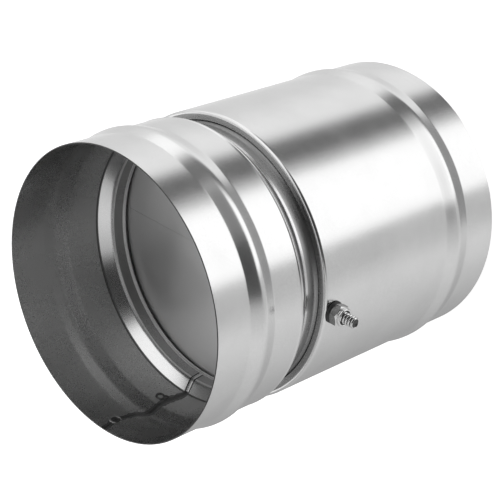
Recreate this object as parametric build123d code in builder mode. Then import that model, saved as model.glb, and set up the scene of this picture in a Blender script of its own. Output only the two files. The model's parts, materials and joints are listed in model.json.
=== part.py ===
from build123d import *
from math import copysign, cos, radians, sin, tan
import os

os.makedirs("parts", exist_ok=True)

# Spring-loaded butterfly backdraft damper for a 150 mm round duct, in millimetres.
# It stands on its outlet end: +Z is the duct axis and points out of the inlet.
# The hinge bolt runs along Y, with its lock nut on the -Y side.

# The two tubes
overall_length = 202.0
sheet = 0.6
spigot_radius = 75.0
body_swell = 0.4
neck_step = 5.0

# The round bead near each end
inlet_spigot_length = 21.0
outlet_spigot_length = 21.3
inlet_bead_width = 15.9
outlet_bead_width = 17.2
inlet_bead_rise = 2.1
outlet_bead_rise = 1.7
bead_foot_fillet = 5.0
bead_crest_fillet = 8.0

# The joint between the tubes: the crease's depth below the inlet edge, then each length
crease_depth = 56.5
cone_length = 5.7
groove_width = 9.7
neck_tail = 0.7
neck_flare = 0.4
flare_length = 3.6
crease_fillet = 1.0
neck_fillet = 4.0
flare_fillet = 5.0
joint_wall_dish = 1.0
shoulder_fillet = 1.6
joint_clearance = 0.05

# The welded seam inside each tube, opposite the viewer of the inlet
seam_direction = 179.5
seam_width = 3.0
seam_height = 0.25

# The flat rubber seal round the end of the neck
seal_width = 1.9
seal_grip = 0.2
seal_proud = 0.7

# The hinge bolt, its nut and its bushes
bolt_radius = 2.95
bolt_chamfer = 0.7
thread_end_length = 6.6
head_height = 4.0
hex_across_flats = 10.0
hex_flat_face_radius = 4.75
hex_chamfer_angle = 30.0
running_clearance = 0.05
bush_flange_radius = 6.1
bush_flange_thickness = 1.6
bush_flange_bevel = 1.2
bush_barrel_radius = 3.9
bush_reach = 1.2
hole_clearance = 0.1
nut_height = 6.0
nut_hex_height = 4.2
nut_turn = 13.0
nut_collar_radius = 4.7
nut_collar_wall = 0.5
nut_collar_bevel = 0.3
nut_crimp_radius = 3.7
nut_crimp_thickness = 0.45
insert_depth = 0.6
insert_clearance = 0.05

# The two half-round blades and their rolled hinge straps
blade_thickness = 0.5
blade_overlap = 1.6
blade_corner_fillet = 2.0
split_gap = 0.1
seat_gap = 0.05
strap_sheet = 0.55
strap_width = 10.0
strap_reach = 17.0
strap_corner_fillet = 3.0
strap_bend_angle = 100.0
strap_wrap_angle = 310.0
inner_strap_centre = 15.0
outer_strap_inset = 18.0
spacer_wall = 0.55
spacer_end_gap = 0.1

# The torsion spring round the middle of the bolt
wire_diameter = 0.6
coil_clearance = 0.15
coil_turns = 5
coil_pitch = 1.7
leg_length = 24.0
leg_gap = 0.05

# Levels and radii that follow from the sizes above
body_radius = spigot_radius + body_swell
neck_radius = spigot_radius - neck_step
crease_level = overall_length - crease_depth
cone_level = crease_level - cone_length
joint_wall_level = cone_level - groove_width
neck_level = joint_wall_level - neck_tail
flare_level = neck_level + flare_length
neck_end_radius = neck_radius + neck_flare
lip_radius = neck_end_radius + joint_clearance
coil_mean_radius = bolt_radius + coil_clearance + wire_diameter / 2
blade_offset = coil_mean_radius + wire_diameter / 2 + leg_gap
blade_level = neck_level - seal_proud - seat_gap - blade_thickness
bolt_level = blade_level - blade_offset
blade_radius = neck_radius + blade_overlap
outer_strap_centre = neck_radius - outer_strap_inset
eye_bore_radius = bolt_radius + running_clearance
knuckle_radius = eye_bore_radius + strap_sheet
hex_corner_radius = hex_across_flats / 2 / cos(radians(30))
hex_chamfer_rise = (hex_corner_radius - hex_flat_face_radius) * tan(radians(hex_chamfer_angle))
flange_seat = body_radius + joint_clearance
nut_seat = flange_seat + bush_flange_thickness
bush_end = body_radius - sheet - bush_reach
bolt_tip = nut_seat + nut_height + thread_end_length
coil_length = coil_turns * coil_pitch
insert_seat = nut_seat + nut_hex_height - insert_depth
insert_height = nut_height - nut_hex_height + insert_depth - nut_crimp_thickness
insert_radius = nut_collar_radius - nut_collar_wall

# Measured along the bolt, distances on this plane grow towards the nut
bolt_plane = Plane(origin=(0, 0, bolt_level), x_dir=(1, 0, 0), z_dir=(0, -1, 0))
bolt_axis = Axis((0, 0, bolt_level), (0, 1, 0))


def bead_points(top_radius, bottom_radius, rise, width, top_level):
    """Top foot, crest and bottom foot of a round bead."""
    return [
        (top_radius, top_level),
        ((top_radius + bottom_radius) / 2 + rise, top_level - width / 2),
        (bottom_radius, top_level - width),
    ]


def hex_envelope(seat, height):
    """Half section that bevels both ends of a hexagon standing on seat along Y."""
    rise = copysign(hex_chamfer_rise, height)
    return [
        (0, seat),
        (hex_flat_face_radius, seat),
        (hex_corner_radius, seat + rise),
        (hex_corner_radius, seat + height - rise),
        (hex_flat_face_radius, seat + height),
        (0, seat + height),
    ]


bead_fillets = [bead_foot_fillet, bead_crest_fillet, bead_foot_fillet]
inlet_bead_top = overall_length - inlet_spigot_length
outlet_bead_top = outlet_spigot_length + outlet_bead_width
collar_line = [
    (spigot_radius, overall_length),
    *bead_points(spigot_radius, spigot_radius, inlet_bead_rise, inlet_bead_width, inlet_bead_top),
    (spigot_radius, crease_level),
    (neck_radius, cone_level),
    (neck_radius, flare_level),
    (neck_end_radius, neck_level),
]
collar_fillets = bead_fillets + [crease_fillet, neck_fillet, flare_fillet]
body_line = [
    (neck_radius - sheet, joint_wall_level),
    (body_radius, joint_wall_level + joint_wall_dish),
    *bead_points(body_radius, spigot_radius, outlet_bead_rise, outlet_bead_width, outlet_bead_top),
    (spigot_radius, 0),
]
body_fillets = [shoulder_fillet] + bead_fillets
seam_start = radians(seam_direction - seam_width / 2 / radians(spigot_radius))
seam_plane = Plane(
    origin=(0, 0, 0),
    x_dir=(cos(seam_start), sin(seam_start), 0),
    z_dir=(sin(seam_start), -cos(seam_start), 0),
)
seam_arc = seam_width / radians(spigot_radius)

# Inlet collar: spigot, bead, creased cone and neck, rolled from one sheet and welded
with BuildPart() as inlet_collar:
    with BuildSketch(Plane.XZ):
        with BuildLine():
            FilletPolyline(*collar_line, radius=collar_fillets)
            offset(amount=sheet, side=Side.RIGHT)
        make_face()
    revolve(axis=Axis.Z)
    with BuildSketch(seam_plane):
        with BuildLine():
            FilletPolyline(*collar_line, radius=collar_fillets)
            offset(amount=sheet + seam_height, side=Side.RIGHT)
        make_face()
    revolve(axis=Axis.Z, revolution_arc=seam_arc)

# Main body: turned-in front wall round the neck, plain barrel, bead and outlet spigot
with BuildPart() as main_body:
    with BuildSketch(Plane.XZ):
        with BuildLine():
            FilletPolyline(*body_line, radius=body_fillets)
            offset(amount=sheet, side=Side.RIGHT)
        make_face()
    revolve(axis=Axis.Z)
    with BuildSketch(Plane.XY.offset(joint_wall_level)):
        Circle(lip_radius)
    extrude(amount=joint_wall_dish + sheet, both=True, mode=Mode.SUBTRACT)
    with BuildSketch(bolt_plane):
        Circle(bush_barrel_radius + hole_clearance)
    extrude(amount=body_radius + sheet, both=True, mode=Mode.SUBTRACT)

# Seat seal: a flat rubber ring round the neck's end, under the front wall
with BuildPart() as seat_seal:
    with BuildSketch(Plane.XY.offset(neck_level - seal_proud)):
        Circle(lip_radius + seal_width)
        Circle(lip_radius, mode=Mode.SUBTRACT)
    extrude(amount=seal_grip + seal_proud)

# Hinge bolt: a bevelled hexagon head and a long round shank
with BuildPart() as hinge_bolt:
    with BuildSketch(bolt_plane.offset(-nut_seat - head_height)):
        RegularPolygon(hex_corner_radius, 6)
    extrude(amount=head_height)
    with BuildSketch(Plane.XY.offset(bolt_level)):
        with BuildLine():
            Polyline(*hex_envelope(nut_seat, head_height), close=True)
        make_face()
    revolve(axis=bolt_axis, mode=Mode.INTERSECT)
    with BuildSketch(bolt_plane.offset(-nut_seat)):
        Circle(bolt_radius)
    extrude(amount=nut_seat + bolt_tip)
    chamfer(hinge_bolt.edges().sort_by(Axis.Y)[0], bolt_chamfer)

# Lock nut: bevelled hexagon under a round collar that is crimped over its ring
with BuildPart() as lock_nut:
    with BuildSketch(bolt_plane.offset(nut_seat)):
        RegularPolygon(hex_corner_radius, 6, rotation=nut_turn)
    extrude(amount=nut_hex_height)
    with BuildSketch(Plane.XY.offset(bolt_level)):
        with BuildLine():
            Polyline(*hex_envelope(-nut_seat, -nut_hex_height), close=True)
        make_face()
    revolve(axis=bolt_axis, mode=Mode.INTERSECT)
    with BuildSketch(bolt_plane.offset(nut_seat + nut_hex_height / 2)):
        Circle(nut_collar_radius)
    extrude(amount=nut_height - nut_hex_height / 2)
    chamfer(lock_nut.edges().sort_by(Axis.Y)[0], nut_collar_bevel)
    with BuildSketch(bolt_plane.offset(insert_seat)):
        Circle(insert_radius)
    extrude(amount=insert_height, mode=Mode.SUBTRACT)
    with BuildSketch(bolt_plane.offset(insert_seat)):
        Circle(nut_crimp_radius)
    extrude(amount=nut_height, mode=Mode.SUBTRACT)
    with BuildSketch(bolt_plane.offset(nut_seat)):
        Circle(bolt_radius + running_clearance)
    extrude(amount=nut_height, mode=Mode.SUBTRACT)

# The ring that the nut's collar holds and that grips the thread
with BuildPart() as lock_nut_insert:
    with BuildSketch(bolt_plane.offset(insert_seat + insert_clearance)):
        Circle(insert_radius - insert_clearance)
        Circle(bolt_radius + running_clearance, mode=Mode.SUBTRACT)
    extrude(amount=insert_height - 2 * insert_clearance)

parts = {
    "inlet_collar": inlet_collar,
    "main_body": main_body,
    "seat_seal": seat_seal,
    "hinge_bolt": hinge_bolt,
    "lock_nut": lock_nut,
    "lock_nut_insert": lock_nut_insert,
}

# A flanged bush fills the wall hole at each end of the bolt
for name, way in (("nut_side_bush", 1), ("head_side_bush", -1)):
    with BuildPart() as bush:
        with BuildSketch(bolt_plane.offset(way * flange_seat)):
            Circle(bush_flange_radius)
        extrude(amount=way * bush_flange_thickness)
        rim = bush.edges().sort_by(Axis.Y, reverse=way > 0)[-1]
        chamfer(rim, bush_flange_bevel)
        with BuildSketch(bolt_plane.offset(way * bush_end)):
            Circle(bush_barrel_radius)
        extrude(amount=way * (flange_seat - bush_end))
        with BuildSketch(bolt_plane.offset(way * bush_end)):
            Circle(bolt_radius + running_clearance)
        extrude(amount=way * (nut_seat - bush_end), mode=Mode.SUBTRACT)
    parts[name] = bush

# Spacer sleeves fill the bolt outside the outer straps and between each pair
spacer_clear = strap_width / 2 + spacer_end_gap
spacer_spans = {
    "end_spacer": (outer_strap_centre + spacer_clear, bush_end - spacer_end_gap),
    "middle_spacer": (inner_strap_centre + spacer_clear, outer_strap_centre - spacer_clear),
}
for side, way in (("nut_side", 1), ("head_side", -1)):
    for kind, (inner_end, outer_end) in spacer_spans.items():
        with BuildPart() as spacer:
            with BuildSketch(bolt_plane.offset(way * inner_end)):
                Circle(bolt_radius + running_clearance + spacer_wall)
                Circle(bolt_radius + running_clearance, mode=Mode.SUBTRACT)
            extrude(amount=way * (outer_end - inner_end))
        parts[f"{side}_{kind}"] = spacer

# Outline of a strap: flat leg, slight bend down to the bolt, then a rolled eye
bend = radians(strap_bend_angle)


def strap_bend_point(radius, level):
    """Where the leg at this level meets the slope that runs into an eye of this radius."""
    run = (level - radius * sin(bend)) / -cos(bend)
    return (radius * cos(bend) + run * sin(bend), level)


# Each blade and its straps are drawn to +X and turned half round for the left side
for side, way in (("right", 1), ("left", -1)):
    with BuildPart() as blade:
        with BuildSketch(Plane(origin=(0, 0, blade_level), x_dir=(way, 0, 0), z_dir=(0, 0, 1))) as half_round:
            Circle(blade_radius)
            with Locations((split_gap / 2, 0)):
                Rectangle(
                    blade_radius, 2 * blade_radius, align=(Align.MIN, Align.CENTER), mode=Mode.INTERSECT
                )
            fillet(half_round.vertices(), blade_corner_fillet)
        extrude(amount=blade_thickness)
    parts[f"{side}_blade"] = blade
    strap_plane = Plane(origin=(0, 0, bolt_level), x_dir=(way, 0, 0), z_dir=(0, -way, 0))
    for centre in (-inner_strap_centre, outer_strap_centre):
        with BuildPart() as strap:
            with BuildSketch(strap_plane.offset(centre - strap_width / 2)):
                with BuildLine():
                    outer_eye = CenterArc((0, 0), knuckle_radius, strap_bend_angle, strap_wrap_angle)
                    inner_eye = CenterArc((0, 0), eye_bore_radius, strap_bend_angle, strap_wrap_angle)
                    Line(outer_eye @ 1, inner_eye @ 1)
                    Polyline(
                        outer_eye @ 0,
                        strap_bend_point(knuckle_radius, blade_offset),
                        (strap_reach, blade_offset),
                        (strap_reach, blade_offset - strap_sheet),
                        strap_bend_point(eye_bore_radius, blade_offset - strap_sheet),
                        inner_eye @ 0,
                    )
                make_face()
            extrude(amount=strap_width)
            leg_corners = strap.edges().filter_by(Axis.Z).sort_by(Axis.X, reverse=way < 0)[-2:]
            fillet(leg_corners, strap_corner_fillet)
        end = "nut_side" if centre * way > 0 else "head_side"
        parts[f"{side}_{end}_strap"] = strap

# Torsion spring: its coils sit loose on the bolt and a leg lies under each blade
with BuildPart() as torsion_spring:
    with BuildLine() as spring_line:
        coil = Helix(
            pitch=coil_pitch,
            height=coil_length,
            radius=coil_mean_radius,
            center=(0, -coil_length / 2, bolt_level),
            direction=(0, 1, 0),
        )
        left_leg = Line(coil @ 0 - (coil % 0) * leg_length, coil @ 0)
        Line(coil @ 1, coil @ 1 + (coil % 1) * leg_length)
    with BuildSketch(Plane(origin=left_leg @ 0, z_dir=left_leg % 0)):
        Circle(wire_diameter / 2)
    sweep(path=spring_line.wires()[0])
parts["torsion_spring"] = torsion_spring

for name, piece in parts.items():
    piece.part.label = name
    export_step(piece.part, f"parts/{name}.step")
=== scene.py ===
import json
import math

import bmesh
import bpy
from mathutils import Matrix, Vector, noise


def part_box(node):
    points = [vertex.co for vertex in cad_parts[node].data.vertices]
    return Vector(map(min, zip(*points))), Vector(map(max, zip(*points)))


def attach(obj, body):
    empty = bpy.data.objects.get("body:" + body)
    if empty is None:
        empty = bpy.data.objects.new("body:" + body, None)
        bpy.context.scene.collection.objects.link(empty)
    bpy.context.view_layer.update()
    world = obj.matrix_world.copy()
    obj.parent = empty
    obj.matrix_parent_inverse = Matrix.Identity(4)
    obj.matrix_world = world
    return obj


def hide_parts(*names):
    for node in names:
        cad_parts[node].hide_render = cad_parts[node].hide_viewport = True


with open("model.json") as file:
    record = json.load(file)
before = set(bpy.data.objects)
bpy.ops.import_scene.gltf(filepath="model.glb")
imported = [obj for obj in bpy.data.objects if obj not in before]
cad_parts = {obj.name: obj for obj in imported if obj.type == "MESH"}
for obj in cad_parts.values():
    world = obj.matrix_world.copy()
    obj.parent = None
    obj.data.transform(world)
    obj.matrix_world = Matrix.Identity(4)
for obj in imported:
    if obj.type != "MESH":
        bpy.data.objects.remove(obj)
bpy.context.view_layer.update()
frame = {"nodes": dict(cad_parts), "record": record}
MM = 0.001
bpy.context.scene.view_settings.view_transform = "Standard"

# Sizes of the damper in millimetres, as in its solids
OVERALL = 202.0
SHEET = 0.6
INNER_R = 74.4
LIP_R = 70.45
BOLT_Z = 124.4
BOLT_R = 2.95
NUT_SEAT = 77.05
BOLT_TIP = 89.65
HEX_FLATS = 10.0
HEX_FACE_R = 4.75
NUT_TURN = 13.0
COIL_R = 3.4
WIRE_R = 0.3
COIL_END = 4.25
COIL_PITCH = 1.7
LEG = 24.0
SEAM = 179.5

# Depths below the front edge of the collar: its cut face, and the broken corner outside, both painted
# near black as shade
EDGE_SKIN = 0.02
EDGE_BREAK = 0.3

# Levels on the collar where its finish and painted shade change: crease, cone, neck, and the roll at the
# neck's end
CREASE_TOP = 146.6
CREASE_FOOT = 145.2
CONE_TOP = 146.0
CONE_FOOT = 139.2
NECK_TOP = 138.6
NECK_OUTSIDE_TOP = 137.6
ROLL_TOP = 132.9
ROLL_FOOT = 129.8

# The roll's middle and its height, and the level below which the seam is plain
ROLL_LEVEL = 131.3
ROLL_SIZE = 0.95
SEAM_PLAIN = 145.3

# The ridge along the crease, and the waviness of the rolled sheet
RIDGE_WIDTH = 0.5
RIDGE_HEIGHT = 0.22
WAVINESS = 0.05
TUBE_SEGMENTS = 240

# Edges sharper than this many degrees stay sharp
SHARP = 38

# Scales of the surface grain
METAL_GRAIN = 1400.0
METAL_CLOUD = 45
PLASTIC_GRAIN = 2500

# Outer half sections of the two tubes from the inlet down: corners (radius, level) and their radii
COLLAR_LINE = [
    (75.0, 202.0, 0), (75.0, 181.0, 5), (77.1, 173.05, 8), (75.0, 165.1, 5), (75.0, 145.5, 1),
    (69.6, 139.5, 3.5), (69.4, 132.6, 3), (70.4, 129.4, 0),
]
BODY_LINE = [
    (70.45, 130.275, 0), (75.4, 131.1, 1.6), (75.4, 38.5, 5), (76.9, 29.9, 8), (75.0, 21.3, 5),
    (75.0, 0.0, 0),
]


# Node helpers

def math_node(tree, operation, *values):
    node = tree.nodes.new("ShaderNodeMath")
    node.operation = operation
    for socket, value in zip(node.inputs, values):
        if hasattr(value, "is_output"):
            tree.links.new(value, socket)
        else:
            socket.default_value = value
    return node.outputs[0]


def ramp_node(tree, factor, stops):
    node = tree.nodes.new("ShaderNodeValToRGB")
    node.color_ramp.interpolation = "LINEAR"
    elements = node.color_ramp.elements
    while len(elements) > 1:
        elements.remove(elements[-1])
    for index, (place, level) in enumerate(stops):
        element = elements[0] if index == 0 else elements.new(place)
        element.position = place
        element.color = (level, level, level, 1)
    tree.links.new(factor, node.inputs[0])
    return node.outputs[0]


def map_node(tree, value, low, high, to_low, to_high, kind="SMOOTHSTEP"):
    node = tree.nodes.new("ShaderNodeMapRange")
    node.interpolation_type = kind
    tree.links.new(value, node.inputs[0])
    for socket, number in zip(node.inputs[1:5], (low, high, to_low, to_high)):
        socket.default_value = number
    return node.outputs[0]


# Studio: surroundings, floor and camera

def build_world():
    world = bpy.data.worlds.new("studio")
    bpy.context.scene.world = world
    world.use_nodes = True
    tree = world.node_tree
    tree.nodes.clear()
    place = tree.nodes.new("ShaderNodeTexCoord").outputs["Generated"]
    parts = tree.nodes.new("ShaderNodeSeparateXYZ")
    tree.links.new(place, parts.inputs[0])
    x, y, z = parts.outputs
    azimuth = math_node(tree, "DEGREES", math_node(tree, "ARCTAN2", y, x))
    height = math_node(tree, "DEGREES", math_node(tree, "ARCSINE", z))

    turn = map_node(tree, azimuth, -180, 180, 0, 1, "LINEAR")
    # Brightness of the room round the damper by azimuth
    room = [
        (-180, 0.48), (-150, 0.62), (-118, 0.76), (-98, 0.58), (-60, 0.6), (0, 0.66), (24, 0.98),
        (45, 0.93), (72, 0.76), (92, 0.74), (112, 0.9), (128, 0.64), (142, 0.38), (160, 0.4), (180, 0.48),
    ]
    level = ramp_node(tree, turn, [((a + 180) / 360, v) for a, v in room])

    # Soft boxes and dark flags: azimuth, half width, height, half height, blur, level
    boxes = [
        (0, 400, 80, 18, 10, 0.9),
        (-118, 34, 60, 9, 8, 0.12),
        (29, 19, -4, 24, 14, 1.22),
        (14, 35, 33, 21, 12, 1.14),
        (52, 20, 18, 18, 10, 1.05),
        (6, 13, -36, 38, 15, 0.16),
        (-30, 19, -6, 13, 9, 0.25),
        (-38, 24, 14, 20, 12, 0.06),
        (-69, 22, -10, 18, 14, 0.07),
        (-56, 30, 36, 31, 14, 0.04),
        (-46, 30, -42, 17, 10, 1.3),
        (-50, 76, -77, 13, 10, 0.3),
        (126, 34, 46, 20, 14, 1.3),
    ]
    for az, half_az, el, half_el, blur, value in boxes:
        across = math_node(tree, "SUBTRACT", azimuth, float(az))
        across = math_node(tree, "WRAP", across, 180.0, -180.0)
        across = math_node(tree, "ABSOLUTE", across)
        across = map_node(tree, across, half_az - blur / 2, half_az + blur / 2, 1, 0)
        upward = math_node(tree, "SUBTRACT", height, float(el))
        upward = math_node(tree, "ABSOLUTE", upward)
        upward = map_node(tree, upward, half_el - blur / 2, half_el + blur / 2, 1, 0)
        mask = math_node(tree, "MULTIPLY", across, upward)
        mix = tree.nodes.new("ShaderNodeMix")
        mix.data_type = "RGBA"
        tree.links.new(mask, mix.inputs["Factor"])
        tree.links.new(level, mix.inputs[6])
        mix.inputs[7].default_value = (value, value, value, 1)
        level = mix.outputs[2]

    studio = tree.nodes.new("ShaderNodeBackground")
    tree.links.new(level, studio.inputs["Color"])
    paper = tree.nodes.new("ShaderNodeBackground")
    paper.inputs["Color"].default_value = (1, 1, 1, 1)
    choose = tree.nodes.new("ShaderNodeMixShader")
    tree.links.new(tree.nodes.new("ShaderNodeLightPath").outputs["Is Camera Ray"], choose.inputs[0])
    tree.links.new(studio.outputs[0], choose.inputs[1])
    tree.links.new(paper.outputs[0], choose.inputs[2])
    out = tree.nodes.new("ShaderNodeOutputWorld")
    tree.links.new(choose.outputs[0], out.inputs[0])


def build_floor():
    mesh = bpy.data.meshes.new("floor")
    size = 3.0
    corners = [(-size, -size, 0), (size, -size, 0), (size, size, 0), (-size, size, 0)]
    mesh.from_pydata(corners, [], [(0, 1, 2, 3)])
    floor = bpy.data.objects.new("floor", mesh)
    bpy.context.collection.objects.link(floor)
    material = bpy.data.materials.new("floor_paper")
    material.use_nodes = True
    tree = material.node_tree
    tree.nodes.clear()
    paper = tree.nodes.new("ShaderNodeBsdfDiffuse")
    paper.inputs["Color"].default_value = (0.9, 0.9, 0.9, 1)
    glow = tree.nodes.new("ShaderNodeEmission")
    glow.inputs["Color"].default_value = (1, 1, 1, 1)
    glow.inputs["Strength"].default_value = 0.7
    both = tree.nodes.new("ShaderNodeAddShader")
    tree.links.new(paper.outputs[0], both.inputs[0])
    tree.links.new(glow.outputs[0], both.inputs[1])
    choose = tree.nodes.new("ShaderNodeMixShader")
    tree.links.new(tree.nodes.new("ShaderNodeLightPath").outputs["Is Camera Ray"], choose.inputs[0])
    tree.links.new(paper.outputs[0], choose.inputs[1])
    tree.links.new(both.outputs[0], choose.inputs[2])
    out = tree.nodes.new("ShaderNodeOutputMaterial")
    tree.links.new(choose.outputs[0], out.inputs[0])
    mesh.materials.append(material)
    floor.visible_glossy = False


def build_camera():
    data = bpy.data.cameras.new("camera")
    data.sensor_width = 36
    data.lens = 118.851
    data.clip_start = 0.05
    camera = bpy.data.objects.new("camera", data)
    bpy.context.collection.objects.link(camera)
    right = Vector((0.088119, -0.705344, -0.703367))
    up = Vector((0.890328, 0.372432, -0.261937))
    back = Vector((0.446712, -0.603145, 0.660806))
    turn = Matrix((right, up, back)).transposed()
    camera.matrix_world = Matrix.Translation((0.377473, -0.51473, 0.669355)) @ turn.to_4x4()
    bpy.context.scene.camera = camera


# Materials

def metal(name, colour, roughness, grain_depth=0.00001, cloud=0.04):
    """Metal with a fine grain and a broad, faint change of tone."""
    material = bpy.data.materials.new(name)
    material.use_nodes = True
    tree = material.node_tree
    shader = tree.nodes["Principled BSDF"]
    shader.inputs["Metallic"].default_value = 1.0
    place = tree.nodes.new("ShaderNodeTexCoord").outputs["Object"]
    fine = tree.nodes.new("ShaderNodeTexNoise")
    fine.inputs["Scale"].default_value = METAL_GRAIN
    fine.inputs["Detail"].default_value = 3
    tree.links.new(place, fine.inputs["Vector"])
    broad = tree.nodes.new("ShaderNodeTexNoise")
    broad.inputs["Scale"].default_value = METAL_CLOUD
    broad.inputs["Detail"].default_value = 2
    tree.links.new(place, broad.inputs["Vector"])
    mixed = math_node(tree, "ADD", math_node(tree, "MULTIPLY", fine.outputs[0], 0.5),
                      math_node(tree, "MULTIPLY", broad.outputs[0], 0.5))
    low, high = colour * (1 - cloud), min(colour * (1 + cloud), 1)
    tree.links.new(ramp_node(tree, mixed, [(0.3, low), (0.7, high)]), shader.inputs["Base Color"])
    rough = map_node(tree, mixed, 0.3, 0.7, roughness * 0.8, roughness * 1.2, "LINEAR")
    tree.links.new(rough, shader.inputs["Roughness"])
    bump = tree.nodes.new("ShaderNodeBump")
    bump.inputs["Strength"].default_value = 0.5
    bump.inputs["Distance"].default_value = grain_depth
    tree.links.new(fine.outputs[0], bump.inputs["Height"])
    tree.links.new(bump.outputs[0], shader.inputs["Normal"])
    return material


def plastic(name, colour, roughness):
    """Matt plastic or rubber with a fine grain."""
    material = bpy.data.materials.new(name)
    material.use_nodes = True
    tree = material.node_tree
    shader = tree.nodes["Principled BSDF"]
    place = tree.nodes.new("ShaderNodeTexCoord").outputs["Object"]
    fine = tree.nodes.new("ShaderNodeTexNoise")
    fine.inputs["Scale"].default_value = PLASTIC_GRAIN
    fine.inputs["Detail"].default_value = 2
    tree.links.new(place, fine.inputs["Vector"])
    stops = [(0.3, colour * 0.85), (0.7, colour * 1.15)]
    tree.links.new(ramp_node(tree, fine.outputs[0], stops), shader.inputs["Base Color"])
    rough = map_node(tree, fine.outputs[0], 0.3, 0.7, roughness * 0.9, roughness * 1.1)
    tree.links.new(rough, shader.inputs["Roughness"])
    bump = tree.nodes.new("ShaderNodeBump")
    bump.inputs["Strength"].default_value = 0.3
    bump.inputs["Distance"].default_value = 0.00002
    tree.links.new(fine.outputs[0], bump.inputs["Height"])
    tree.links.new(bump.outputs[0], shader.inputs["Normal"])
    return material


# Shapes in millimetres

def rounded_line(corners, step):
    """Points along a run of corners, each rounded to its radius, at most a step apart."""
    points = [Vector(corners[0][:2])]
    for before, corner, after in zip(corners, corners[1:], corners[2:]):
        middle = Vector(corner[:2])
        to_before = (Vector(before[:2]) - middle).normalized()
        to_after = (Vector(after[:2]) - middle).normalized()
        half = to_before.angle(to_after) / 2
        reach = corner[2] / math.tan(half)
        centre = middle + (to_before + to_after).normalized() * corner[2] / math.sin(half)
        start = middle + to_before * reach - centre
        sweep = start.angle_signed(middle + to_after * reach - centre)
        count = max(3, round(abs(math.degrees(sweep)) / 3.5))
        for k in range(count + 1):
            turn = Matrix.Rotation(-sweep * k / count, 2)
            points.append(centre + turn @ start)
    points.append(Vector(corners[-1][:2]))
    line = [points[0]]
    for point in points[1:]:
        gap = (point - line[-1]).length
        count = max(1, math.ceil(gap / step))
        line += [line[-1].lerp(point, (k + 1) / count) for k in range(count)]
    return line


def sheet_loop(line, outer_extra=None, inner_extra=None):
    """Closed half section of a sheet whose outer side is the line, with broken edges."""
    outer, inner = [], []
    for k, point in enumerate(line):
        along = (line[min(k + 1, len(line) - 1)] - line[max(k - 1, 0)]).normalized()
        inward = Vector((along.y, -along.x)) * SHEET
        below = point + inward
        outer.append(Vector((point.x + (outer_extra(point.y) if outer_extra else 0), point.y)))
        inner.append(Vector((below.x + (inner_extra(below.y) if inner_extra else 0), below.y)))
    top_out, top_in = outer[0].lerp(inner[0], 0.5), outer[0].lerp(inner[0], 0.9)
    end_out, end_in = outer[-1].lerp(inner[-1], 0.12), outer[-1].lerp(inner[-1], 0.88)
    outer[0] = outer[0].lerp(outer[1], 0.24 / (outer[1] - outer[0]).length)
    inner[0] = inner[0].lerp(inner[1], 0.08 / (inner[1] - inner[0]).length)
    outer[-1] = outer[-1].lerp(outer[-2], 0.08 / (outer[-2] - outer[-1]).length)
    inner[-1] = inner[-1].lerp(inner[-2], 0.08 / (inner[-2] - inner[-1]).length)
    return [top_out] + outer + [end_out, end_in] + inner[::-1] + [top_in], inner


def on_duct(radius, angle, level):
    """Point round the duct axis."""
    return (radius * math.cos(angle), radius * math.sin(angle), level)


def on_bolt(radius, angle, level):
    """Point round the bolt, with levels that grow towards the nut."""
    return (radius * math.cos(angle), -level, BOLT_Z + radius * math.sin(angle))


def add_piece(name, body, slot, vertices, faces, sharp=SHARP, material=None):
    """New mesh piece from points in millimetres, riding on a body."""
    mesh = bpy.data.meshes.new(name)
    mesh.from_pydata([(x * MM, y * MM, z * MM) for x, y, z in vertices], [], faces)
    work = bmesh.new()
    work.from_mesh(mesh)
    bmesh.ops.recalc_face_normals(work, faces=work.faces)
    work.to_mesh(mesh)
    work.free()
    mesh.shade_smooth()
    mesh.set_sharp_from_angle(angle=math.radians(sharp))
    mesh.materials.append(material or MATERIALS[slot])
    piece = bpy.data.objects.new(name, mesh)
    bpy.context.collection.objects.link(piece)
    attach(piece, body)
    return piece


def turned(section, segments, place, start=0.0, capped=False):
    """Rings of a half section that may change with the angle, joined to a closed skin."""
    vertices, faces = [], []
    for i in range(segments):
        angle = math.radians(start) + math.tau * i / segments
        ring = section(angle) if callable(section) else section
        vertices += [place(radius, angle, level) for radius, level in ring]
    n = len(ring)
    for i in range(segments):
        j = (i + 1) % segments
        for k in range(n - 1 if capped else n):
            m = (k + 1) % n
            faces.append((i * n + k, j * n + k, j * n + m, i * n + m))
    if capped:
        faces.append(tuple(i * n for i in range(segments)))
        faces.append(tuple(i * n + n - 1 for i in range(segments)))
    return vertices, faces


def tube(path, radius, sides=12):
    """Round wire along a path of points, with closed ends."""
    vertices, faces = [], []
    points = [Vector(point) for point in path]
    along = (points[1] - points[0]).normalized()
    side = along.orthogonal().normalized()
    for k, point in enumerate(points):
        ahead = (points[min(k + 1, len(points) - 1)] - points[max(k - 1, 0)]).normalized()
        side = (side - ahead * side.dot(ahead)).normalized()
        other = ahead.cross(side)
        for i in range(sides):
            angle = math.tau * i / sides
            vertices.append(tuple(point + (side * math.cos(angle) + other * math.sin(angle)) * radius))
    for k in range(len(points) - 1):
        for i in range(sides):
            j = (i + 1) % sides
            faces.append((k * sides + i, k * sides + j, (k + 1) * sides + j, (k + 1) * sides + i))
    faces.append(tuple(range(sides)))
    last = (len(points) - 1) * sides
    faces.append(tuple(range(last, last + sides)))
    return vertices, faces


def uneven(vertices):
    """Faint waviness of rolled sheet."""
    moved = []
    for x, y, z in vertices:
        push = 1 + WAVINESS * noise.noise(Vector((x, y, z * 0.5)) * 0.035) / math.hypot(x, y)
        moved.append((x * push, y * push, z))
    return moved


def hex_radius(angle, turn):
    """Distance of a turned hexagon's side from its axis."""
    return HEX_FLATS / 2 / math.cos((angle - math.radians(turn)) % (math.pi / 3) - math.pi / 6)


def hex_bevel(radius):
    """Height that the bevelled face has lost at this distance from the axis."""
    return max(0.0, radius - HEX_FACE_R) * math.tan(math.radians(30))


# The two tubes

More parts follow.
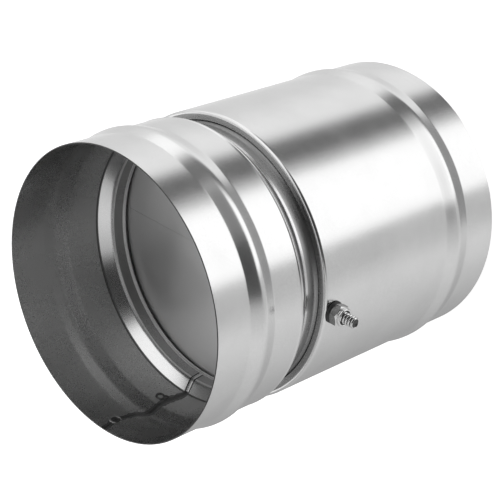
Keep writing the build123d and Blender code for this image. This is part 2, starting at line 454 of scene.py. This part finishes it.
def crease_ridge(level):
    """Low ridge pressed up along the crease."""
    return RIDGE_HEIGHT * math.exp(-(((level - CREASE_TOP) / RIDGE_WIDTH) ** 2))


def end_roll(level):
    """Rolled end of the neck, standing a little inward."""
    return -ROLL_SIZE * math.exp(-(((level - ROLL_LEVEL) / ROLL_SIZE) ** 2))


def build_tubes():
    line = rounded_line(COLLAR_LINE, 1.6)
    fine = []
    for point, following in zip(line, line[1:] + [None]):
        fine.append(point)
        if following and (143 < point.y < 149 or point.y < 135 or point.y > 201):
            count = max(1, math.ceil((following - point).length / 0.25))
            fine += [point.lerp(following, (k + 1) / count) for k in range(count - 1)]
    loop, inner = sheet_loop(fine, crease_ridge, end_roll)
    vertices, faces = turned([tuple(p) for p in loop], TUBE_SEGMENTS, on_duct)
    collar = add_piece("collar_sheet", "housing", "tube_sheet", uneven(vertices), faces)
    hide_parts("inlet_collar")
    finish_and_shade_faces(collar, (CUT_EDGE_SHADE, INSIDE_SHADE, CREASE_SHADE, FORMED_SHEET, NECK_SHADE, NECK_INSIDE_SHADE),
                 collar_finish_and_shade)

    loop = sheet_loop(rounded_line(BODY_LINE, 2.4))[0]
    vertices, faces = turned([tuple(p) for p in loop], TUBE_SEGMENTS, on_duct)
    body = add_piece("body_sheet", "housing", "tube_sheet", uneven(vertices), faces)
    bore = add_piece("bore_tool", "housing", "tube_sheet",
                     *turned([(4.0, -80.0), (4.0, 80.0)], 48, on_bolt, capped=True))
    cut = body.modifiers.new("bolt_holes", "BOOLEAN")
    cut.operation = "DIFFERENCE"
    cut.solver = "EXACT"
    cut.object = bore
    view = bpy.context.evaluated_depsgraph_get()
    drilled = bpy.data.meshes.new_from_object(body.evaluated_get(view))
    body.modifiers.clear()
    body.data = drilled
    bpy.data.objects.remove(bore)
    drilled.shade_smooth()
    drilled.set_sharp_from_angle(angle=math.radians(SHARP))
    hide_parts("main_body")
    finish_and_shade_faces(body, (CUT_EDGE_SHADE, INSIDE_SHADE, FORMED_SHEET), body_finish_and_shade)
    return inner


def finish_and_shade_faces(piece, materials, pick):
    """Give parts of a sheet their own finish, some with painted shade, picked by level and by how far a
    face looks outward.
    """
    for material in materials:
        piece.data.materials.append(material)
    for face in piece.data.polygons:
        radial = Vector((face.center.x, face.center.y, 0)).normalized()
        levels = [piece.data.vertices[k].co.z / MM for k in face.vertices]
        face.material_index = pick(min(levels), max(levels), face.normal.dot(radial))


def collar_finish_and_shade(low, high, outward):
    """Number of the finish for a face of the collar; the cut edge, the inside, the crease and the neck
    take painted shade.
    """
    plain, edge, inside, crease, formed, neck_outside, neck_inside_shade = range(7)
    if low > OVERALL - EDGE_SKIN:
        return edge
    if outward > -0.1:
        if low > OVERALL - EDGE_BREAK:
            return edge
        if high < NECK_OUTSIDE_TOP:
            return neck_outside
        return formed if high < CONE_TOP and low > CONE_FOOT else plain
    if CREASE_FOOT < low and high < CREASE_TOP:
        return crease
    if ROLL_FOOT < low and high < ROLL_TOP:
        return formed
    if high < NECK_TOP:
        return neck_inside_shade
    return inside if low > CREASE_FOOT else plain


def body_finish_and_shade(low, high, outward):
    """Number of the finish for a face of the main body; the cut edge and the inside take painted shade.
    """
    plain, edge, inside, formed = range(4)
    if high < 0.06:
        return edge
    if outward < -0.1:
        return inside
    return formed if low > 130.0 and outward < 0.35 else plain


# The welded seam inside the collar

def build_seam(inner):
    def wall(level):
        """Inner radius of the collar at a level."""
        for above, below in zip(inner, inner[1:]):
            if below.y <= level <= above.y:
                share = (above.y - level) / max(above.y - below.y, 1e-6)
                return above.x + (below.x - above.x) * share
        return inner[0].x if level > inner[0].y else inner[-1].x

    def on_wall(level, across, height):
        angle = math.radians(SEAM) + across / INNER_R
        return on_duct(wall(level) - height, angle, level)

    # Each row: level, sideways shift of the middle, half width of the bead and of the scale round it
    track = [
        (201.9, 2.6, 0.8, 1.9), (197.5, 1.4, 0.8, 1.9), (194.5, 0.5, 0.8, 1.9), (191.9, 0.1, 1.1, 2.3),
        (189.0, 0.5, 0.9, 1.9), (185.8, 1.2, 0.7, 1.9), (179.0, 2.2, 0.8, 2.2), (175.0, 3.1, 0.9, 2.5),
        (170.4, 3.5, 1.0, 2.4), (164.7, 2.9, 1.1, 2.4), (160.4, 2.4, 1.5, 2.8), (156.3, 2.4, 1.7, 3.1),
        (152.8, 2.9, 1.7, 3.0), (149.0, 3.1, 1.4, 2.5), (146.5, 2.9, 1.1, 1.9), (145.3, 2.6, 1.2, 1.8),
        (142.5, 1.6, 1.2, 1.8), (139.5, 0.6, 1.2, 1.85), (134.0, 0.0, 1.2, 1.9), (132.9, 0.0, 1.2, 1.9),
    ]

    bead, scale = 1, 2

    def seam_at(level):
        """Sideways shift and half widths of the seam at a level."""
        for above, below in zip(track, track[1:]):
            if below[0] <= level <= above[0]:
                share = (above[0] - level) / (above[0] - below[0])
                return [a + (b - a) * share for a, b in zip(above[1:], below[1:])]
        return list(track[-1][1:])

    def ribbon(name, column, height, roughness, material):
        """Raised strip along the track, rough where it is welded and plain over cone and neck."""
        rows = round((track[0][0] - track[-1][0]) / 0.35)
        across = 12
        vertices, faces = [], []
        for k in range(rows + 1):
            level = track[0][0] - (track[0][0] - track[-1][0]) * k / rows
            values = seam_at(level)
            shift, half = values[0], values[column]
            welded = min(1.0, max(0.0, (level - 144.5) / 2))
            for i in range(across + 1):
                u = 2 * i / across - 1
                jitter = noise.noise(Vector((level * 0.9, u * 1.3 + column * 7, 3.1)))
                spot = Vector((level * 0.55, math.copysign(4, u), column * 5))
                edge = 1 + 0.32 * welded * noise.noise(spot)
                lift = height * (1 - abs(u) ** 3) * (1 + roughness * welded * jitter) + 0.03
                vertices.append(on_wall(level, shift + u * half * edge, lift))
        for k in range(rows):
            for i in range(across):
                a = k * (across + 1) + i
                faces.append((a, a + 1, a + across + 2, a + across + 1))
        piece = add_piece(name, "housing", "tube_sheet", vertices, faces, 60, material)
        piece.data.materials.append(INSIDE_SHADE)
        piece.data.materials.append(SEAM_EDGE_DARK)
        # Below the plain level the bead takes the inside's painted shade and the scale strip turns near
        # black
        for face in piece.data.polygons:
            if face.center.z / MM < SEAM_PLAIN:
                face.material_index = 1 if column == bead else 2

    ribbon("seam_scale", scale, 0.06, 0.5, WELD_SCALE)
    ribbon("seam_bead", bead, 0.2, 0.8, WELD_METAL)

    def loop_mark(name, level, across, long_half, wide_half, tilt, thick, material):
        """Closed oval bead of weld metal on the wall."""
        path = []
        for k in range(37):
            angle = math.tau * k / 36
            u, v = long_half * math.cos(angle), wide_half * math.sin(angle)
            along = u * math.cos(tilt) - v * math.sin(tilt)
            sideways = u * math.sin(tilt) + v * math.cos(tilt)
            lift = 0.1 + 0.05 * noise.noise(Vector((u, v, level)))
            path.append(on_wall(level + along, across + sideways, lift))
        add_piece(name, "housing", "tube_sheet", *tube(path, thick, 8), 60, material)

    loop_mark("seam_ring", 191.9, 0.0, 2.9, 2.9, 0.2, 0.3, WELD_GLINT)
    loop_mark("seam_ring_inner", 191.9, 0.0, 2.1, 2.0, 0.5, 0.42, WELD_METAL)
    loop_mark("seam_loop", 159.0, -2.7, 2.4, 2.0, 0.9, 0.62, WELD_METAL)
    loop_mark("seam_loop_root", 157.0, -0.4, 1.2, 0.9, 0.9, 0.55, WELD_METAL)


# Bolt, nut, bushes and seal

def build_bolt():
    """Head, shank and thread, with a dished end."""
    pitch, depth = 1.7, 0.62
    plain_end = 62.0
    head_height = 4.0
    rows = round((BOLT_TIP - plain_end) / pitch * 12)

    def section(angle):
        head_r = hex_radius(angle, 0)
        bevel = hex_bevel(head_r)
        outer_end = -NUT_SEAT - head_height
        ring = [
            (0.4, outer_end + 0.12), (2.6, outer_end + 0.12), (3.1, outer_end), (HEX_FACE_R, outer_end),
            (head_r, outer_end + bevel), (head_r, -NUT_SEAT - 0.05), (BOLT_R + 0.3, -NUT_SEAT),
            (BOLT_R, -NUT_SEAT + 0.3), (BOLT_R, 0.0), (BOLT_R, plain_end),
        ]
        for k in range(1, rows + 1):
            level = plain_end + (BOLT_TIP - plain_end) * k / rows
            phase = (level / pitch + angle / math.tau) % 1
            groove = min(1.0, max(0.0, abs(2 * phase - 1) * 1.6 - 0.35))
            run_in = min(1.0, (level - plain_end) / 2)
            run_out = min(1.0, (BOLT_TIP - level) / 0.9)
            radius = BOLT_R - depth * groove * run_in * run_out
            ring.append((min(radius, 2.5 + (BOLT_TIP - level) * 0.9), level))
        ring += [(2.35, BOLT_TIP), (2.2, BOLT_TIP - 0.12), (1.6, BOLT_TIP - 0.62), (0.6, BOLT_TIP - 0.8)]
        return ring

    bolt = add_piece("bolt", "housing", "plated_steel", *turned(section, 72, on_bolt, capped=True), 42)
    bolt.data.materials.append(THREAD_SHADE)
    # Thread roots and the dished tip take painted shade
    for face in bolt.data.polygons:
        away = Vector((face.center.x, face.center.z - BOLT_Z * MM)).length / MM
        along = -face.center.y / MM
        root = plain_end + 2 < along < BOLT_TIP - 0.4 and away < BOLT_R - 0.42
        dish = along > BOLT_TIP - 1 and face.normal.y < -0.5 and away < 2.2
        face.material_index = 1 if root or dish else 0
    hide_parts("hinge_bolt")


def build_nut():
    def section(angle):
        radius = hex_radius(angle, NUT_TURN)
        bevel = hex_bevel(radius)
        profile = [
            (3.0, 0.15), (3.2, 0.0), (HEX_FACE_R, 0.0), (radius, bevel), (radius, 4.2 - bevel),
            (HEX_FACE_R, 4.2),
            (4.6, 4.25), (4.55, 4.4), (4.62, 4.6), (4.7, 4.9), (4.7, 5.3),
        ]
        for k in range(1, 8):
            turn = math.radians(90 * k / 7)
            profile.append((4.1 + 0.6 * math.cos(turn), 5.4 + 0.6 * math.sin(turn)))
        profile += [(3.85, 5.99), (3.72, 5.9), (3.7, 5.56), (4.18, 5.56), (4.18, 3.62), (3.0, 3.62)]
        return [(r, NUT_SEAT + level) for r, level in profile]

    nut = add_piece("nut", "housing", "plated_steel", *turned(section, 96, on_bolt, NUT_TURN), 30)
    nut.data.materials.append(NUT_FLAT_SHADE)
    # The six flats take painted shade
    for face in nut.data.polygons:
        along = -face.center.y / MM - NUT_SEAT
        face.material_index = 1 if along < 4.1 and abs(face.normal.y) < 0.05 else 0
    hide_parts("lock_nut")
    ring = [(3.0, 3.65), (4.15, 3.65), (4.15, 5.5), (3.2, 5.5), (3.05, 5.4), (3.0, 5.2)]
    ring = [(r, NUT_SEAT + level) for r, level in ring]
    insert = add_piece("nut_ring", "housing", "ring_nylon", *turned(ring, 64, on_bolt))
    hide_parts("lock_nut_insert")


def build_bushes():
    profile = [
        (3.0, 73.7), (3.1, 73.6), (3.75, 73.6), (3.9, 73.75), (3.9, 75.45), (5.6, 75.45), (5.75, 75.6),
        (5.75, 75.85), (5.68, 76.0), (4.95, 76.97), (4.85, 77.05), (3.15, 77.05), (3.0, 76.9),
    ]
    for side, way in (("nut_side", 1), ("head_side", -1)):
        ring = [(r, way * level) for r, level in profile]
        bush = add_piece(side + "_flanged_bush", "housing", "black_bush", *turned(ring, 72, on_bolt))
        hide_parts(side + "_bush")


def build_seal():
    profile = [
        (LIP_R, 128.78), (LIP_R + 0.08, 128.7), (72.25, 128.7), (72.35, 128.8), (72.35, 129.5),
        (72.25, 129.6), (LIP_R + 0.08, 129.6), (LIP_R, 129.52),
    ]
    seal = add_piece("seal_ring", "housing", "black_rubber", *turned(profile, 200, on_duct))
    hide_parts("seat_seal")


# Spring and strap welds

def build_spring():
    """Coil that stays with the housing, and one leg on each flap."""
    skew = COIL_PITCH / (math.tau * COIL_R)
    turns = 2 * COIL_END / COIL_PITCH
    coil = []
    count = round(turns * 28)
    for k in range(count + 1):
        angle = math.tau * turns * k / count
        coil.append((COIL_R * math.sin(angle), -COIL_END + COIL_PITCH * angle / math.tau,
                     BOLT_Z + COIL_R * math.cos(angle)))
    pieces = [add_piece("spring_coil", "housing", "spring_wire", *tube(coil, WIRE_R))]
    for side, way in (("left", -1), ("right", 1)):
        reach = (0.0, LEG / 3, LEG * 0.8, LEG)
        leg = [(way * x, way * (COIL_END + skew * x), BOLT_Z + COIL_R) for x in reach]
        pieces.append(add_piece("spring_leg_" + side, side + "_flap", "spring_wire", *tube(leg, WIRE_R)))
    for piece in pieces:
        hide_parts("torsion_spring")


def build_spot_welds():
    """Two spot welds on each hinge strap, seen as small dished rings from below."""
    profile = [(0.15, -0.02), (1.0, -0.03), (1.5, -0.1), (1.75, -0.14), (1.95, -0.1), (2.1, 0.02)]
    for side, way, rows in (("right", 1, (-52.0, 15.0)), ("left", -1, (52.0, -15.0))):
        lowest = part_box(side + "_nut_side_strap")[1][2] / MM
        vertices, faces = [], []
        for y in rows:
            for x in (9.0, 15.5):
                ring, skin = turned(profile, 28, on_duct, capped=True)
                first = len(vertices)
                vertices += [(way * x + a, y + b, lowest - 0.55 + c) for a, b, c in ring]
                faces += [tuple(first + k for k in face) for face in skin]
        add_piece(side + "_strap_welds", side + "_flap", "strap_sheet", vertices, faces, 50)


build_world()
build_floor()
build_camera()

MATERIALS = {
    "tube_sheet": metal("tube_sheet", 0.8, 0.2, grain_depth=0.000016, cloud=0.07),
    "blade_sheet": metal("blade_sheet", 0.7, 0.5),
    "strap_sheet": metal("strap_sheet", 0.6, 0.3),
    "plated_steel": metal("plated_steel", 0.8, 0.15),
    "spring_wire": metal("spring_wire", 0.5, 0.25),
    "black_bush": plastic("black_bush", 0.035, 0.45),
    "ring_nylon": plastic("ring_nylon", 0.05, 0.4),
    "black_rubber": plastic("black_rubber", 0.02, 0.7),
}
# Painted shade: cut faces and broken rim corners coloured near black, a dark line round both rims
CUT_EDGE_SHADE = metal("cut_edge_shade", 0.08, 0.4)
# Painted shade: the inside of both tubes, and the seam bead over cone and neck, darker than the outside
# sheet
INSIDE_SHADE = metal("inside_shade", 0.45, 0.28, grain_depth=0.000002)
FORMED_SHEET = metal("formed_sheet", 0.8, 0.34, cloud=0.1)
# Painted shade: a dark line along the crease inside the collar
CREASE_SHADE = metal("crease_shade", 0.16, 0.4)
# Painted shade: the outside of the neck, below the cone, darkened
NECK_SHADE = metal("neck_shade", 0.5, 0.3)
# Painted shade: the inside of the neck darker still
NECK_INSIDE_SHADE = metal("neck_inside_shade", 0.3, 0.3, grain_depth=0.000004)
# Painted shade: the nut's six flats darker than its chamfers
NUT_FLAT_SHADE = metal("nut_flat_shade", 0.32, 0.25, cloud=0.15)
# Painted shade: thread roots and the dish at the bolt's tip near black
THREAD_SHADE = metal("thread_shade", 0.12, 0.4)
WELD_SCALE = metal("weld_scale", 0.17, 0.5, cloud=0.5)
WELD_METAL = metal("weld_metal", 0.1, 0.4, cloud=0.5)
# Near-black lines along both edges of the seam strip over cone and neck
SEAM_EDGE_DARK = metal("seam_edge_dark", 0.07, 0.5, cloud=0.3)
WELD_GLINT = metal("weld_glint", 0.42, 0.35, cloud=0.3)
for subpart in frame["record"]["subparts"]:
    node = frame["nodes"][subpart["node"]]
    node.data.materials.clear()
    node.data.materials.append(MATERIALS[subpart["material_slot"]])

collar_inside = build_tubes()
build_seam(collar_inside)
build_bolt()
build_nut()
build_bushes()
build_seal()
build_spring()
build_spot_welds()
